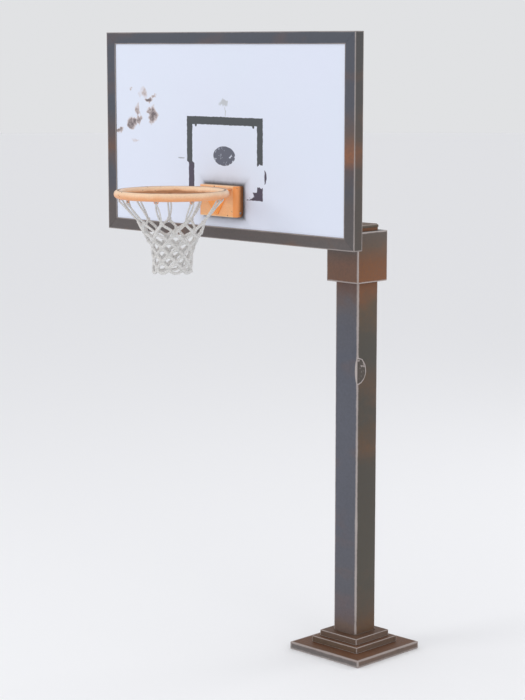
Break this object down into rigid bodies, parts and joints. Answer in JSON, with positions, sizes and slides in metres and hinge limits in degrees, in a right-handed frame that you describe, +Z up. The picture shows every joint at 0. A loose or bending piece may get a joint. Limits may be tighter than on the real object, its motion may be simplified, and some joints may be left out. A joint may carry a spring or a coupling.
{
  "type": "basketball hoop",
  "caption": "Free-standing basketball hoop: stepped base, square post, sliding sleeve with arms, framed board, sprung ring and cord net.",
  "frame": {"origin": "centre of the base plate's underside, on the post's axis", "axes": "+Z up the post, the board faces -Y, +X to the right as seen by someone facing the board"},
  "size_m": [1.63, 1.759, 3.148],
  "materials": {
    "base_paint": "grey enamel worn to brown rust, bare bright edges",
    "post_paint": "weathered blue-grey enamel with rust tint and bare worn edges",
    "frame_paint": "weathered blue-grey enamel, rusting along the lower rail",
    "board_panel": "white painted panel with stains and a chipped dark target",
    "rim_paint": "sun-bleached orange powder coat",
    "zinc": "dull zinc plate",
    "spring_steel": "blackened, oiled",
    "nylon": "plain moulded",
    "net_cord": "braided, weathered off-white"
  },
  "bodies": {
    "stand": {"base_plate": "base_paint", "lower_step_plate": "base_paint", "upper_step_plate": "base_paint", "post_tube": "post_paint", "post_cap": "post_paint"},
    "head": {"collar_sleeve": "post_paint", "glide_pad_left": "nylon", "glide_pad_right": "nylon", "glide_pad_front": "nylon", "glide_pad_rear": "nylon", "clamp_boss": "post_paint", "head_plate": "post_paint", "arm_lower_left": "frame_paint", "arm_lower_right": "frame_paint", "arm_upper_left": "frame_paint", "arm_upper_right": "frame_paint", "frame_left": "frame_paint", "frame_right": "frame_paint", "frame_top": "frame_paint", "frame_bottom": "frame_paint", "backboard_panel": "board_panel", "rim_backing_plate": "frame_paint", "upright_left": "frame_paint", "upright_right": "frame_paint", "side_brace_lower_left": "frame_paint", "side_brace_lower_right": "frame_paint", "side_brace_upper_left": "frame_paint", "side_brace_upper_right": "frame_paint", "rim_mount_plate": "rim_paint", "hinge_pin": "zinc", "torsion_spring_left": "spring_steel", "torsion_spring_right": "spring_steel", "rim_bolt_low_left": "zinc", "rim_bolt_low_right": "zinc", "rim_bolt_high_left": "zinc", "rim_bolt_high_right": "zinc", "rim_nut_low_left": "zinc", "rim_nut_low_right": "zinc", "rim_nut_high_left": "zinc", "rim_nut_high_right": "zinc"},
    "foot": {"clamp_foot": "nylon"},
    "screw": {"clamp_screw": "zinc", "clamp_handle": "zinc", "handle_tip_top": "nylon", "handle_tip_bottom": "nylon"},
    "rim": {"rim_bracket": "rim_paint", "bracket_inner_plate": "rim_paint", "ring_tray": "rim_paint", "brace_wedge": "rim_paint", "ring": "rim_paint", "net": "net_cord"}
  },
  "joints": [
    {"name": "height_slide", "type": "slide", "parent": "stand", "child": "head", "axis": [0, 0, 1], "range_m": [-0.6, 0]},
    {"name": "rim_release", "type": "hinge", "parent": "head", "child": "rim", "pos_m": [0, -0.95, 2.322], "axis": [1, 0, 0], "range_deg": [0, 15], "stiffness_Nm_per_rad": 200, "springref_deg": -17.19},
    {"name": "clamp_travel", "type": "slide", "parent": "head", "child": "foot", "axis": [0, 1, 0], "range_m": [0, 0.00605]},
    {"name": "clamp_turn", "type": "hinge", "parent": "foot", "child": "screw", "pos_m": [0, 0.1, 2.045], "axis": [0, 1, 0], "range_deg": [0, 1080]}
  ],
  "couplings": [
    {"joint": "clamp_travel", "follows": "clamp_turn", "m_per_rad": 0.00031831}
  ]
}
